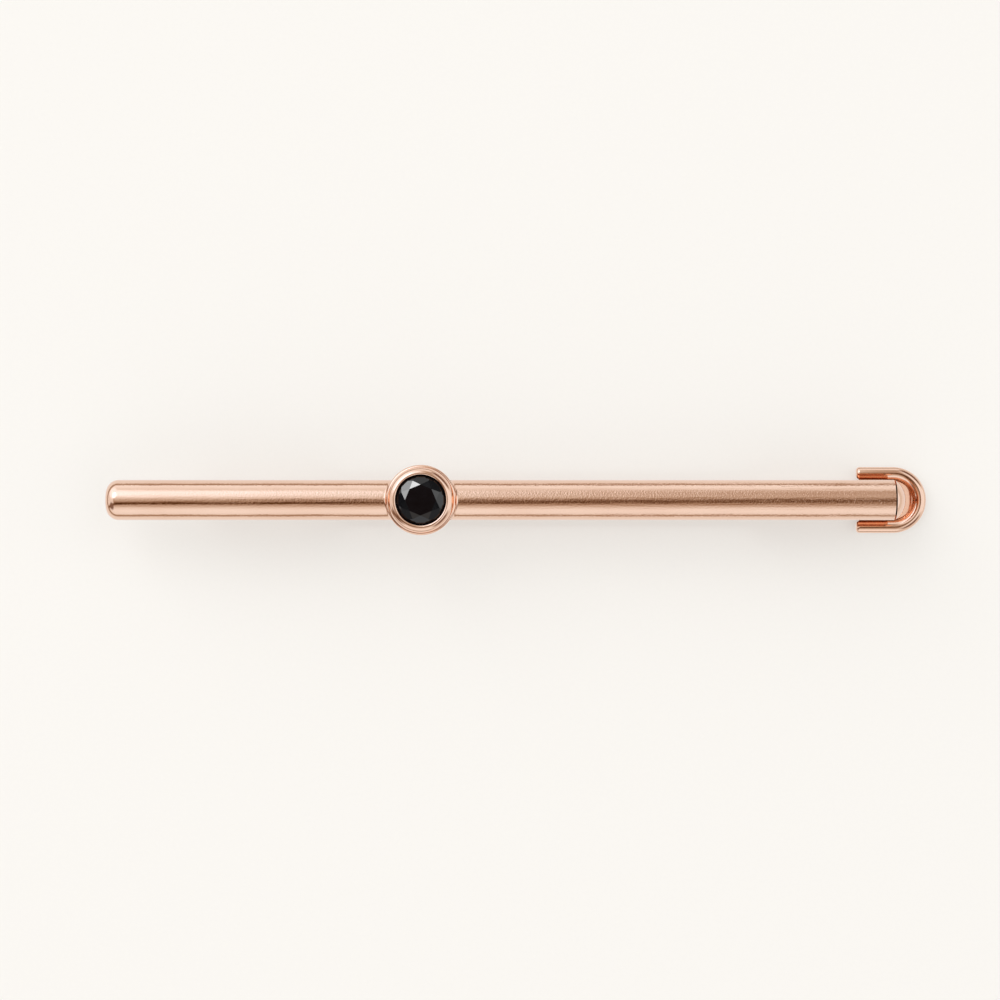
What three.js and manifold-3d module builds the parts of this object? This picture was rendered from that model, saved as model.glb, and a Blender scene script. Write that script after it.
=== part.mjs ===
// A tie bar: a round bar with a bezel-set stone, and a sprung clip arm hinged behind it.
// Millimetres, +Z up. The part lies on the back of its clip arm with the stone facing up,
// +X runs along the bar towards the thumb loop, and the origin is under the middle of the whole.
import * as THREE from "three";
import { mergeVertices } from "three/addons/utils/BufferGeometryUtils.js";
import Module from "manifold-3d";

const wasm = await Module();
wasm.setup();

// Bar: a drawn tube, closed by a plug with a rounded nose on the left and a domed one on the right
const barLength = 59.45;
const barDiameter = 3;
const tubeWall = 0.4;
const endRound = 0.92;
const plugLand = 0.15;
const domeRise = 0.77;
const spigotLength = 2;

// Stone: a round brilliant, with angles in degrees from the girdle plane
const stoneDiameter = 4;
const tableShare = 0.57;
const crownAngle = 34;
const pavilionAngle = 40.75;
const girdleHeight = 0.1;
const starShare = 0.5;
const lowerHalfShare = 0.77;
const mainFacets = 8;

// Bezel: a cup with a collar at bar level and a lip rolled over the stone's edge
const bezelFromLeft = 23.45;
const bezelWall = 0.39;
const collarStep = 0.19;
const collarAboveBar = 0.15;
const cupFloor = 0.35;
const cupBelowAxis = 0.2;
const lipCover = 0.12;
const lipClearance = 0.03;
const lipThickness = 0.13;
const rimRound = 0.36;
const bearingWidth = 0.45;
const rivetDiameter = 1;
const rivetHeadOverhang = 0.3;
const rivetHeadHeight = 0.2;
const culetClearance = 0.15;

// Clip arm: a strip as wide as the bar, bent up to a toothed jaw near the bar's left end,
// and folded up along both sides of its tail
const armThickness = 0.5;
const jawFromLeft = 8;
const jawLength = 4;
const rampLength = 6;
const lipLength = 1.5;
const lipDrop = 0.5;
const toothPitch = 0.6;
const toothHeight = 0.25;
const jawGap = 0.05;
const tipRound = 1.1;
const railHeight = 1.2;
const railSetback = 0.4;

// Thumb loop: a U of round wire set round the arm's tail
const loopWire = 0.92;
const loopClearance = 0.08;
const loopLeg = 2.8;
const loopSetback = 0.4;
const wireEndRound = 0.26;

// Hinge: ears under the bar, cheeks on the arm, one pin and a torsion spring between the ears
const hingeToLoop = 9.5;
const pinDiameter = 0.8;
const pinChamfer = 0.06;
const pinPlay = 0.03;
const cheekThickness = 0.3;
const cheekFoot = 2;
const earThickness = 0.25;
const earFoot = 1.4;
const knuckleWall = 0.25;
const sidePlay = 0.03;
const saddleThickness = 0.3;
const saddleLeft = 1.8;
const saddleRight = 3.6;
const springWire = 0.28;
const coilClearance = 0.17;
const coilHalfTurns = 5;
const springLeg = 3.2;
const springHeadroom = 0.09;
const springSidePlay = 0.04;

// Fits
const solderGap = 0.02;

// How finely round shapes are drawn
const roundSteps = 48;
const wireSides = 16;
const springSides = 6;
const arcSteps = 3;
const coilSteps = 6;

const roseGold = 0xe9bfa3;
const steelGrey = 0xb4b4b2;
const gemBlack = 0x0b0b0d;

const degrees = Math.PI / 180;

// Sizes that follow from the driving ones
const barRadius = barDiameter / 2;
const boreRadius = barRadius - tubeWall;
const plugNose = endRound + plugLand;
const armWidth = barDiameter;
const wireRadius = loopWire / 2;
const loopRadius = armWidth / 2 + loopClearance + wireRadius;
const overallLength = barLength - loopSetback + loopRadius + wireRadius;
const barLeft = -overallLength / 2;
const barRight = barLeft + barLength;
const loopX = barRight - loopSetback;
const bezelX = barLeft + bezelFromLeft;

const pinRadius = pinDiameter / 2;
const knuckleRadius = pinRadius + knuckleWall;
const springRadius = springWire / 2;
const coilRadius = pinRadius + coilClearance + springRadius;
const pivotX = loopX - hingeToLoop;
const pivotZ = armThickness + springHeadroom + coilRadius + springRadius;
const saddleZ = pivotZ + coilRadius + springRadius + springHeadroom;
const barBackZ = saddleZ + saddleThickness + solderGap;
const barZ = barBackZ + barRadius;
const cheekInner = armWidth / 2 - cheekThickness;
const earOuter = cheekInner - sidePlay;
const earInner = earOuter - earThickness;

const stoneRadius = stoneDiameter / 2;
const crownSlope = Math.tan(crownAngle * degrees);
const pavilionSlope = Math.tan(pavilionAngle * degrees);
const cupInner = stoneRadius + solderGap;
const rimRadius = cupInner + bezelWall;
const collarRadius = rimRadius + collarStep;
const cupZ = barZ - cupBelowAxis;
const floorZ = cupZ + cupFloor;
const culetZ = floorZ + rivetHeadHeight + culetClearance;
const girdleZ = culetZ + stoneRadius * pavilionSlope;
const girdleTopZ = girdleZ + girdleHeight;
const lipInner = stoneRadius - lipCover;
const facetHalf = Math.PI / mainFacets;

const jawLeft = barLeft + jawFromLeft;
const jawRight = jawLeft + jawLength;
const rampFoot = jawRight + rampLength;
const tipX = jawLeft - lipLength;
const railX = loopX - railSetback;
const toothTipZ = barBackZ - jawGap;
const toothRootZ = toothTipZ - toothHeight;
const jawBottomZ = toothRootZ - armThickness;

// Turns a closed three.js geometry into a solid that can be cut and joined.
function solid(geometry) {
  const bare = geometry.clone();
  bare.deleteAttribute("normal");
  bare.deleteAttribute("uv");
  const merged = mergeVertices(bare, 1e-5);
  const mesh = new wasm.Mesh({
    numProp: 3,
    vertProperties: new Float32Array(merged.attributes.position.array),
    triVerts: new Uint32Array(merged.index.array),
  });
  return new wasm.Manifold(mesh);
}

// Turns a finished solid back into a geometry with flat facets.
function geometryOf(body) {
  const mesh = body.getMesh();
  const geometry = new THREE.BufferGeometry();
  geometry.setAttribute("position", new THREE.BufferAttribute(mesh.vertProperties, 3));
  geometry.setIndex(new THREE.BufferAttribute(mesh.triVerts, 1));
  const flat = geometry.toNonIndexed();
  flat.computeVertexNormals();
  return flat;
}

// A turned solid: the outline gives radius and height, and the axis is Z.
function turned(outline, steps = roundSteps) {
  const geometry = new THREE.LatheGeometry(outline.getPoints(arcSteps), steps);
  return geometry.rotateX(Math.PI / 2);
}

// A cylinder standing on height z, for round parts and cutters.
function cylinder(radius, height, z, steps = roundSteps) {
  const geometry = new THREE.CylinderGeometry(radius, radius, height, steps);
  return geometry.rotateX(Math.PI / 2).translate(0, 0, z + height / 2);
}

// A side outline in X and Z, given width across the bar from y0 to y1.
function across(outline, y0, y1) {
  const options = { depth: y1 - y0, bevelEnabled: false, curveSegments: 3 * arcSteps };
  const geometry = new THREE.ExtrudeGeometry(outline, options);
  return geometry.rotateX(Math.PI / 2).translate(0, y1, 0);
}

// A round wire through stations, each with a point and a radius. The ends are closed flat.
function wireThrough(stations, sides) {
  const points = stations.map((station) => station.point);
  const tangents = points.map((point, i) => {
    const before = point.clone().sub(points[Math.max(i - 1, 0)]).normalize();
    const after = points[Math.min(i + 1, points.length - 1)].clone().sub(point).normalize();
    return before.add(after).normalize();
  });
  const positions = [];
  const side = new THREE.Vector3(0, 0, 1);
  const turn = new THREE.Quaternion();
  stations.forEach((station, i) => {
    if (i > 0) {
      side.applyQuaternion(turn.setFromUnitVectors(tangents[i - 1], tangents[i]));
    }
    const other = tangents[i].clone().cross(side);
    for (let k = 0; k < sides; k += 1) {
      const angle = (2 * Math.PI * k) / sides;
      const offset = side.clone().multiplyScalar(Math.cos(angle) * station.radius);
      offset.addScaledVector(other, Math.sin(angle) * station.radius);
      positions.push(...offset.add(station.point).toArray());
    }
  });
  const first = stations.length * sides;
  positions.push(...points[0].toArray(), ...points[points.length - 1].toArray());
  const triangles = [];
  for (let k = 0; k < sides; k += 1) {
    const next = (k + 1) % sides;
    for (let i = 0; i + 1 < stations.length; i += 1) {
      const low = i * sides;
      const high = low + sides;
      triangles.push(low + k, low + next, high + next, low + k, high + next, high + k);
    }
    const last = first - sides;
    triangles.push(first, next, k, first + 1, last + k, last + next);
  }
  const geometry = new THREE.BufferGeometry();
  geometry.setAttribute("position", new THREE.Float32BufferAttribute(positions, 3));
  geometry.setIndex(triangles);
  return geometry;
}

// Stations that round over the end of a wire, from the end face inwards along a direction.
function roundedEnd(end, inward, radius, round) {
  const stations = [];
  for (let i = 0; i <= arcSteps; i += 1) {
    const angle = (i / arcSteps) * (Math.PI / 2);
    const depth = round * (1 - Math.cos(angle));
    const point = end.clone().addScaledVector(inward, depth);
    stations.push({ point, radius: radius - round * (1 - Math.sin(angle)) });
  }
  return stations;
}

// The bar's tube, with a seat milled for the bezel and a hole for its rivet.
function barTube() {
  const length = barLength - plugNose - domeRise;
  const wall = new THREE.Path();
  wall.moveTo(boreRadius, 0);
  wall.lineTo(barRadius, 0);
  wall.lineTo(barRadius, length);
  wall.lineTo(boreRadius, length);
  wall.lineTo(boreRadius, 0);
  const tube = solid(turned(wall).rotateY(Math.PI / 2).translate(barLeft + plugNose, 0, barZ));
  const seatRadius = collarRadius + solderGap;
  const seat = solid(cylinder(seatRadius, barDiameter, cupZ - solderGap).translate(bezelX, 0, 0));
  const hole = cylinder(rivetDiameter / 2 + solderGap, barDiameter, barZ - 2 * barRadius);
  return geometryOf(tube.subtract(seat).subtract(solid(hole.translate(bezelX, 0, 0))));
}

// Closes a plug's outline with the spigot that sits in the tube's bore.
function withSpigot(outline, nose) {
  const spigotRadius = boreRadius - solderGap;
  outline.lineTo(spigotRadius, nose);
  outline.lineTo(spigotRadius, nose + spigotLength);
  outline.lineTo(0, nose + spigotLength);
  return turned(outline);
}

// The left end's plug: its nose is flush with the tube and rounded at the edge.
function roundedPlug() {
  const outline = new THREE.Path();
  outline.moveTo(0, 0);
  outline.lineTo(barRadius - endRound, 0);
  outline.absarc(barRadius - endRound, endRound, endRound, -Math.PI / 2, 0, false);
  outline.lineTo(barRadius, plugNose);
  return withSpigot(outline, plugNose).rotateY(Math.PI / 2).translate(barLeft, 0, barZ);
}

// The right end's plug: a low dome with a crisp edge where it meets the tube.
function domedPlug() {
  const domeRadius = (barRadius ** 2 + domeRise ** 2) / (2 * domeRise);
  const edge = Math.asin(barRadius / domeRadius) - Math.PI / 2;
  const outline = new THREE.Path();
  outline.absarc(0, domeRadius, domeRadius, -Math.PI / 2, edge, false);
  return withSpigot(outline, domeRise).rotateY(-Math.PI / 2).translate(barRight, 0, barZ);
}

// Height of the stone's crown over its girdle, and depth of its pavilion, between main facets.
const crownRise = (radius) => (stoneRadius - radius * Math.cos(facetHalf)) * crownSlope;
const pavilionDrop = (radius) => (stoneRadius - radius * Math.cos(facetHalf)) * pavilionSlope;

// The bezel cup: floor, wall with its collar, and a round rim with the lip over the stone.
function bezelCup() {
  const lipUnder = girdleTopZ + crownRise(lipInner) + lipClearance;
  const lipTop = lipUnder + lipThickness;
  const collarTop = barZ + barRadius + collarAboveBar;
  const outline = new THREE.Path();
  outline.moveTo(rivetDiameter / 2 + solderGap, cupZ);
  outline.lineTo(collarRadius, cupZ);
  outline.lineTo(collarRadius, collarTop - collarStep);
  outline.absarc(rimRadius, collarTop - collarStep, collarStep, 0, Math.PI / 2, false);
  outline.lineTo(rimRadius, lipTop - rimRound);
  outline.absarc(rimRadius - rimRound, lipTop - rimRound, rimRound, 0, Math.PI / 2, false);
  outline.lineTo(cupInner, lipTop);
  outline.lineTo(lipInner, lipUnder);
  outline.lineTo(cupInner, girdleTopZ + crownRise(cupInner) + lipClearance);
  outline.lineTo(cupInner, floorZ);
  outline.lineTo(rivetDiameter / 2 + solderGap, floorZ);
  outline.lineTo(rivetDiameter / 2 + solderGap, cupZ);
  return turned(outline).translate(bezelX, 0, 0);
}

// The ring inside the cup whose bevelled top carries the stone.
function stoneBearing() {
  const outer = cupInner - solderGap;
  const inner = cupInner - bearingWidth;
  const outline = new THREE.Path();
  outline.moveTo(inner, floorZ);
  outline.lineTo(outer, floorZ);
  outline.lineTo(outer, girdleZ - pavilionDrop(outer) - solderGap);
  outline.lineTo(inner, girdleZ - pavilionDrop(inner) - solderGap);
  outline.lineTo(inner, floorZ);
  return turned(outline).translate(bezelX, 0, 0);
}

// The rivet through the cup's floor and the back of the tube.
function bezelRivet() {
  const shank = rivetDiameter / 2;
  const head = shank + rivetHeadOverhang;
  const outline = new THREE.Path();
  outline.moveTo(0, barBackZ);
  outline.lineTo(shank, barBackZ);
  outline.lineTo(shank, floorZ);
  outline.lineTo(head, floorZ);
  outline.lineTo(head, floorZ + rivetHeadHeight);
  outline.lineTo(0, floorZ + rivetHeadHeight);
  return turned(outline).translate(bezelX, 0, 0);
}

// The stone, from rings of corners: culet, lower halves, girdle twice, stars and table.
function stone() {
  const tableRadius = stoneRadius * tableShare;
  const tableEdge = tableRadius * Math.cos(facetHalf);
  const starRadius = tableEdge + starShare * (stoneRadius - tableEdge);
  const halfRadius = stoneRadius * (1 - lowerHalfShare);
  const positions = [];
  const ring = (count, radius, z, phase) => {
    const first = positions.length / 3;
    for (let k = 0; k < count; k += 1) {
      const angle = (2 * Math.PI * k) / count + phase;
      positions.push(radius * Math.cos(angle), radius * Math.sin(angle), z);
    }
    return (k) => first + ((k + count) % count);
  };
  const tableZ = girdleTopZ + (stoneRadius - tableRadius) * crownSlope;
  const table = ring(mainFacets, tableRadius, tableZ, 0);
  const star = ring(mainFacets, starRadius, girdleTopZ + crownRise(starRadius), facetHalf);
  const upper = ring(2 * mainFacets, stoneRadius, girdleTopZ, 0);
  const lower = ring(2 * mainFacets, stoneRadius, girdleZ, 0);
  const half = ring(mainFacets, halfRadius, girdleZ - pavilionDrop(halfRadius), facetHalf);
  const culet = ring(1, 0, culetZ, 0);
  const centre = ring(1, 0, tableZ, 0);
  const triangles = [];
  for (let k = 0; k < mainFacets; k += 1) {
    const tip = 2 * k;
    triangles.push(centre(0), table(k), table(k + 1));
    triangles.push(table(k), star(k), table(k + 1));
    triangles.push(table(k), star(k - 1), upper(tip), table(k), upper(tip), star(k));
    triangles.push(star(k), upper(tip), upper(tip + 1), star(k), upper(tip + 1), upper(tip + 2));
    triangles.push(half(k), lower(tip + 1), lower(tip), half(k), lower(tip + 2), lower(tip + 1));
    triangles.push(culet(0), half(k), lower(tip), culet(0), lower(tip), half(k - 1));
  }
  for (let k = 0; k < 2 * mainFacets; k += 1) {
    triangles.push(lower(k), lower(k + 1), upper(k + 1), lower(k), upper(k + 1), upper(k));
  }
  const geometry = new THREE.BufferGeometry();
  geometry.setAttribute("position", new THREE.Float32BufferAttribute(positions, 3));
  geometry.setIndex(triangles);
  return geometryOf(solid(geometry.translate(bezelX, 0, 0)));
}

// A knuckle's side outline: a foot on height z that narrows to a round end about the pin.
function knuckle(outline, foot, z) {
  const reach = Math.hypot(foot, z - pivotZ);
  const toFoot = Math.atan2(z - pivotZ, foot);
  const spread = Math.acos(knuckleRadius / reach) * Math.sign(pivotZ - z);
  const start = toFoot + spread;
  outline.lineTo(pivotX + foot, z);
  outline.absarc(pivotX, pivotZ, knuckleRadius, start, Math.PI - start, z > pivotZ);
  outline.lineTo(pivotX - foot, z);
}

// A cutter for the hinge pin's holes, right across the hinge.
function pinHole(play) {
  const bore = cylinder(pinRadius + play, 2 * armWidth, -armWidth);
  return solid(bore.rotateX(Math.PI / 2).translate(pivotX, 0, pivotZ));
}

// The bracket under the bar: a saddle fitted to the tube, with an ear down each side.
function hingeBracket() {
  const ears = new THREE.Shape();
  ears.moveTo(pivotX + saddleRight, barZ);
  ears.lineTo(pivotX + saddleRight, saddleZ);
  knuckle(ears, earFoot, saddleZ);
  ears.lineTo(pivotX - saddleLeft, saddleZ);
  ears.lineTo(pivotX - saddleLeft, barZ);
  const block = solid(across(ears, -earOuter, earOuter));
  const slot = new THREE.BoxGeometry(saddleLeft + saddleRight + barDiameter, 2 * earInner, saddleZ);
  const gap = solid(slot.translate(pivotX, 0, saddleZ / 2));
  const bar = cylinder(barRadius + solderGap, barLength, -barLength / 2);
  const tube = solid(bar.rotateY(Math.PI / 2).translate(pivotX, 0, barZ));
  return geometryOf(block.subtract(gap).subtract(tube).subtract(pinHole(pinPlay)));
}

// The hinge pin, riveted flush in the arm's cheeks.
function pivotPin() {
  const half = armWidth / 2;
  const outline = new THREE.Path();
  outline.moveTo(0, -half);
  outline.lineTo(pinRadius - pinChamfer, -half);
  outline.lineTo(pinRadius, -half + pinChamfer);
  outline.lineTo(pinRadius, half - pinChamfer);
  outline.lineTo(pinRadius - pinChamfer, half);
  outline.lineTo(0, half);
  return turned(outline).rotateX(Math.PI / 2).translate(pivotX, 0, pivotZ);
}

// The spring: one leg under the saddle, the coil round the pin, one leg on the arm's tail.
function torsionSpring() {
  const reach = earInner - springSidePlay - springRadius;
  const steps = coilHalfTurns * coilSteps;
  const stations = [];
  const add = (x, y, z) => {
    stations.push({ point: new THREE.Vector3(pivotX + x, y, pivotZ + z), radius: springRadius });
  };
  add(springLeg, -reach, coilRadius);
  for (let i = 0; i <= steps; i += 1) {
    const angle = (Math.PI * i) / coilSteps;
    const y = -reach + (2 * reach * i) / steps;
    add(-coilRadius * Math.sin(angle), y, coilRadius * Math.cos(angle));
  }
  add(springLeg, reach, -coilRadius);
  return wireThrough(stations, springSides);
}

// The arm's side outline: flat back, ramp up to the jaw, teeth, and a lip at the tip.
function armOutline() {
  const tailX = loopX + armWidth / 2;
  const midRamp = (jawRight + rampFoot) / 2;
  const midLip = (jawLeft + tipX) / 2;
  const teeth = Math.round(jawLength / toothPitch);
  const outline = new THREE.Shape();
  outline.moveTo(tailX, 0);
  outline.lineTo(tailX, armThickness);
  outline.lineTo(rampFoot, armThickness);
  outline.bezierCurveTo(midRamp, armThickness, midRamp, toothRootZ, jawRight, toothRootZ);
  for (let i = 0; i < teeth; i += 1) {
    const step = jawLength / teeth;
    outline.lineTo(jawRight - (i + 0.5) * step, toothTipZ);
    outline.lineTo(jawRight - (i + 1) * step, toothRootZ);
  }
  outline.quadraticCurveTo(midLip, toothRootZ, tipX, toothRootZ - lipDrop);
  outline.lineTo(tipX, jawBottomZ - lipDrop);
  outline.quadraticCurveTo(midLip, jawBottomZ, jawLeft, jawBottomZ);
  outline.lineTo(jawRight, jawBottomZ);
  outline.bezierCurveTo(midRamp, jawBottomZ, midRamp, 0, rampFoot, 0);
  return outline;
}

// The arm's outline from above: a round tail inside the loop and a rounded tip.
function armPlan() {
  const half = armWidth / 2;
  const plan = new THREE.Shape();
  plan.moveTo(tipX + tipRound, -half);
  plan.lineTo(loopX, -half);
  plan.absarc(loopX, 0, half, -Math.PI / 2, Math.PI / 2, false);
  plan.lineTo(tipX + tipRound, half);
  plan.absarc(tipX + tipRound, half - tipRound, tipRound, Math.PI / 2, Math.PI, false);
  plan.absarc(tipX + tipRound, tipRound - half, tipRound, Math.PI, 1.5 * Math.PI, false);
  return plan;
}

// One side of the arm: the cheek that holds the pin, and the rail from there along the tail.
function armSide(y0, y1) {
  const cheek = new THREE.Shape();
  cheek.moveTo(pivotX - cheekFoot, 0);
  cheek.lineTo(pivotX + cheekFoot, 0);
  knuckle(cheek, cheekFoot, armThickness);
  const rail = new THREE.Shape();
  rail.moveTo(pivotX, 0);
  rail.lineTo(railX, 0);
  rail.lineTo(railX, railHeight);
  rail.lineTo(pivotX, railHeight);
  return solid(across(cheek, y0, y1)).add(solid(across(rail, y0, y1)));
}

// The clip arm: the bent strip with both its sides, drilled for the pin.
function clipArm() {
  const strip = solid(across(armOutline(), -barDiameter, barDiameter));
  const options = { depth: barZ, bevelEnabled: false, curveSegments: 3 * arcSteps };
  const plan = solid(new THREE.ExtrudeGeometry(armPlan(), options));
  const sides = armSide(cheekInner, armWidth / 2).add(armSide(-armWidth / 2, -cheekInner));
  return geometryOf(strip.intersect(plan).add(sides).subtract(pinHole(solderGap)));
}

// The thumb loop: two legs and a half circle of wire, level with the arm's back.
function thumbLoop() {
  const end = loopX - loopLeg;
  const inward = new THREE.Vector3(1, 0, 0);
  const stations = [];
  const near = new THREE.Vector3(end, -loopRadius, wireRadius);
  const far = new THREE.Vector3(end, loopRadius, wireRadius);
  stations.push(...roundedEnd(near, inward, wireRadius, wireEndRound));
  for (let i = 0; i <= roundSteps / 2; i += 1) {
    const angle = Math.PI * ((2 * i) / roundSteps - 0.5);
    const x = loopX + loopRadius * Math.cos(angle);
    const point = new THREE.Vector3(x, loopRadius * Math.sin(angle), wireRadius);
    stations.push({ point, radius: wireRadius });
  }
  stations.push(...roundedEnd(far, inward, wireRadius, wireEndRound).reverse());
  return wireThrough(stations, wireSides);
}

function gold(roughness) {
  return new THREE.MeshStandardMaterial({ color: roseGold, roughness, metalness: 1 });
}

function steel() {
  return new THREE.MeshStandardMaterial({ color: steelGrey, roughness: 0.35, metalness: 1 });
}

const part = new THREE.Group();
part.name = "tie_bar";

function place(name, geometry, material) {
  const mesh = new THREE.Mesh(geometry, material);
  mesh.name = name;
  part.add(mesh);
}

const satin = 0.3;
const polished = 0.12;
place("bar_tube", barTube(), gold(satin));
place("left_end_plug", roundedPlug(), gold(polished));
place("right_end_plug", domedPlug(), gold(polished));
place("bezel_cup", bezelCup(), gold(polished));
place("stone_bearing", stoneBearing(), gold(satin));
place("bezel_rivet", bezelRivet(), gold(satin));
place("stone", stone(), new THREE.MeshStandardMaterial({ color: gemBlack, roughness: 0.05 }));
place("hinge_bracket", hingeBracket(), gold(satin));
place("pivot_pin", pivotPin(), steel());
place("torsion_spring", torsionSpring(), steel());
place("clip_arm", clipArm(), gold(satin));
place("thumb_loop", thumbLoop(), gold(polished));

export default part;
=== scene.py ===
# %% [markdown]
# # A tie bar in rose gold
# The real object is a slim round bar with one faceted black stone, worn across a tie. Behind it a
# sprung arm pinches the cloth, and a loop of wire round the arm's tail is what the thumb presses.
# The CAD model fixes every size and place. This lesson loads it as a frame and models nearly every
# piece again by hand, finer, so that edges catch the light and polished metal reflects cleanly.

# %% Load the frame
import math

import bmesh
import bpy
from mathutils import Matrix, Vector


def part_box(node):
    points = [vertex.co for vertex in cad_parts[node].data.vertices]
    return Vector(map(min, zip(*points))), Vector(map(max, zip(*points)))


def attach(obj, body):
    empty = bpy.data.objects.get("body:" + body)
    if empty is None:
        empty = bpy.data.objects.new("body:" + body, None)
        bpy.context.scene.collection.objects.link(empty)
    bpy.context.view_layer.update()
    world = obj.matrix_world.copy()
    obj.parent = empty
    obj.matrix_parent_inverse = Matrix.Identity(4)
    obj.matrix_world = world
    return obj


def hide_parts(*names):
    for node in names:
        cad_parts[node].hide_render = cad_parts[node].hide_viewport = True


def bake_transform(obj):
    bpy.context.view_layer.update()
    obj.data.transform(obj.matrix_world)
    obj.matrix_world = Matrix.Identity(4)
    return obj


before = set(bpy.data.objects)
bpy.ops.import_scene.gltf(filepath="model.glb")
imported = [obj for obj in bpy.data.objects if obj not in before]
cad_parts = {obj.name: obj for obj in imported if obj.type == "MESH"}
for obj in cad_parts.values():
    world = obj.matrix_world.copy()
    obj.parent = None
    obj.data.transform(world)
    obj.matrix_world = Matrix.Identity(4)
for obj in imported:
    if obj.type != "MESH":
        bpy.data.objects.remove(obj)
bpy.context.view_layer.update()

MM = 0.001

# %% [markdown]
# ## Working by hand in code
# An operator acts on whatever is selected, and loading the frame leaves its nodes selected, so
# every piece starts with a clean slate. A new primitive's place is moved into its mesh at once:
# then edit mode, the CAD boxes and the joints all speak the same coordinates.

# %% A clean slate, and a name for each new primitive
def clear_selection():
    if bpy.context.mode != "OBJECT":
        bpy.ops.object.mode_set(mode="OBJECT")
    bpy.ops.object.select_all(action="DESELECT")


def start_piece(name):
    piece = bpy.context.object
    piece.name = name
    piece.data.name = name
    bpy.ops.object.transform_apply(location=True, rotation=True, scale=True)
    bpy.ops.object.mode_set(mode="EDIT")
    return piece


def pick(kind, test):
    """In edit mode, selects the corners, edges or faces whose middle passes the test."""
    bpy.ops.mesh.select_mode(type=kind)
    bpy.ops.mesh.select_all(action="DESELECT")
    shape = bmesh.from_edit_mesh(bpy.context.edit_object.data)
    elements = {"VERT": shape.verts, "EDGE": shape.edges, "FACE": shape.faces}[kind]
    chosen = 0
    for element in elements:
        corners = [element] if kind == "VERT" else element.verts
        middle = sum((corner.co for corner in corners), Vector()) / len(corners)
        if test(middle, element):
            element.select_set(True)
            chosen += 1
    shape.select_flush_mode()
    bmesh.update_edit_mesh(bpy.context.edit_object.data)
    return chosen


def push(x=0.0, y=0.0, z=0.0):
    bpy.ops.mesh.extrude_region_move(TRANSFORM_OT_translate={"value": (x, y, z)})


# %% [markdown]
# ## Joining, cutting and closing
# Holes and seats are cut with a second shape, as a drill or a mill would, and the cutter is thrown
# away. A finished mesh has its doubles merged and its faces turned outwards. At this scale the
# usual merge distance of 0.1 mm would eat real edges, so it is given as a tenth of a micron.

# %% Cut, close and hand over a piece
MERGE = 1e-7


def close_mesh():
    bpy.ops.mesh.select_mode(type="VERT")
    bpy.ops.mesh.select_all(action="SELECT")
    bpy.ops.mesh.remove_doubles(threshold=MERGE)
    bpy.ops.mesh.normals_make_consistent(inside=False)
    bpy.ops.object.mode_set(mode="OBJECT")


def combine(piece, other, operation):
    clear_selection()
    bpy.context.view_layer.objects.active = piece
    piece.select_set(True)
    modifier = piece.modifiers.new("combine", "BOOLEAN")
    modifier.object = other
    modifier.operation = operation
    bpy.ops.object.modifier_apply(modifier=modifier.name)
    bpy.data.objects.remove(other)


def hand_over(piece, body, node, crease=35):
    """Shades a finished piece, gives it its body if it has one, and hides the CAD node it stands
    for.
    """
    clear_selection()
    bpy.context.view_layer.objects.active = piece
    piece.select_set(True)
    bpy.ops.object.shade_smooth_by_angle(angle=math.radians(crease))
    if body:
        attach(piece, body)
    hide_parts(node)
    size = [round(side / MM, 2) for side in piece.dimensions]
    print(f"{piece.name}: {len(piece.data.polygons)} faces, {size} mm")


# %% [markdown]
# ## The bar
# The bar is a drawn tube, closed by a plug at each end. It is modelled the way it is made: an
# open cylinder gets its wall from Solidify, and the seat for the bezel is milled with a boolean.
# Solidify keeps the wall even, where two separate cylinders would have to be matched by hand. The
# tube stops a hair short of the right plug, which leaves a seam to see.

# %% Tube with its wall
ROUND = 128
TUBE_WALL = 0.4 * MM
SEAM = 0.1 * MM

tube_low, tube_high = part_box("bar_tube")
bar_radius = (tube_high.y - tube_low.y) / 2
bar_z = tube_low.z + bar_radius
tube_end = tube_high.x - SEAM
ALONG_X = (0, math.pi / 2, 0)

clear_selection()
bpy.ops.mesh.primitive_cylinder_add(
    vertices=ROUND, radius=bar_radius, depth=tube_end - tube_low.x, end_fill_type="NOTHING",
    location=((tube_low.x + tube_end) / 2, 0, bar_z), rotation=ALONG_X)
bar = start_piece("bar")
bpy.ops.object.mode_set(mode="OBJECT")
wall = bar.modifiers.new("wall", "SOLIDIFY")
wall.thickness = TUBE_WALL
wall.offset = -1
bpy.ops.object.modifier_apply(modifier=wall.name)
print("Tube from", round(tube_low.x / MM, 2), "to", round(tube_end / MM, 2), "mm")

# %% The bezel's seat and the rivet's hole
RIVET_ROUND = 48
RIVET_RADIUS = 0.5 * MM
SOLDER_GAP = 0.02 * MM

bezel_low, bezel_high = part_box("bezel_cup")
bezel_x = (bezel_low.x + bezel_high.x) / 2
collar_radius = (bezel_high.y - bezel_low.y) / 2
clear_selection()
bpy.ops.mesh.primitive_cylinder_add(
    vertices=ROUND, radius=collar_radius + SOLDER_GAP, depth=2 * bar_radius,
    location=(bezel_x, 0, bezel_low.z - SOLDER_GAP + bar_radius))
combine(bar, bpy.context.object, "DIFFERENCE")

clear_selection()
bpy.ops.mesh.primitive_cylinder_add(
    vertices=RIVET_ROUND, radius=RIVET_RADIUS + SOLDER_GAP, depth=2 * bar_radius,
    location=(bezel_x, 0, bar_z - bar_radius))
combine(bar, bpy.context.object, "DIFFERENCE")
hand_over(bar, "front_bar", "bar_tube")

# %% [markdown]
# ## The left end
# The left end is a turned plug: a rounded nose flush with the tube and a spigot that sits in its
# bore. A cylinder has its nose edge bevelled to a true quarter round, and its back face is inset
# and extruded into the spigot. The bevel gives an exact round, where scaled rings would only come
# close.

# %% Plug with a rounded nose
NOSE_ROUND = 0.92 * MM
NOSE_STEPS = 14
SPIGOT = 2 * MM
nose_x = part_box("left_end_plug")[0].x
nose_length = tube_low.x - nose_x

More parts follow.
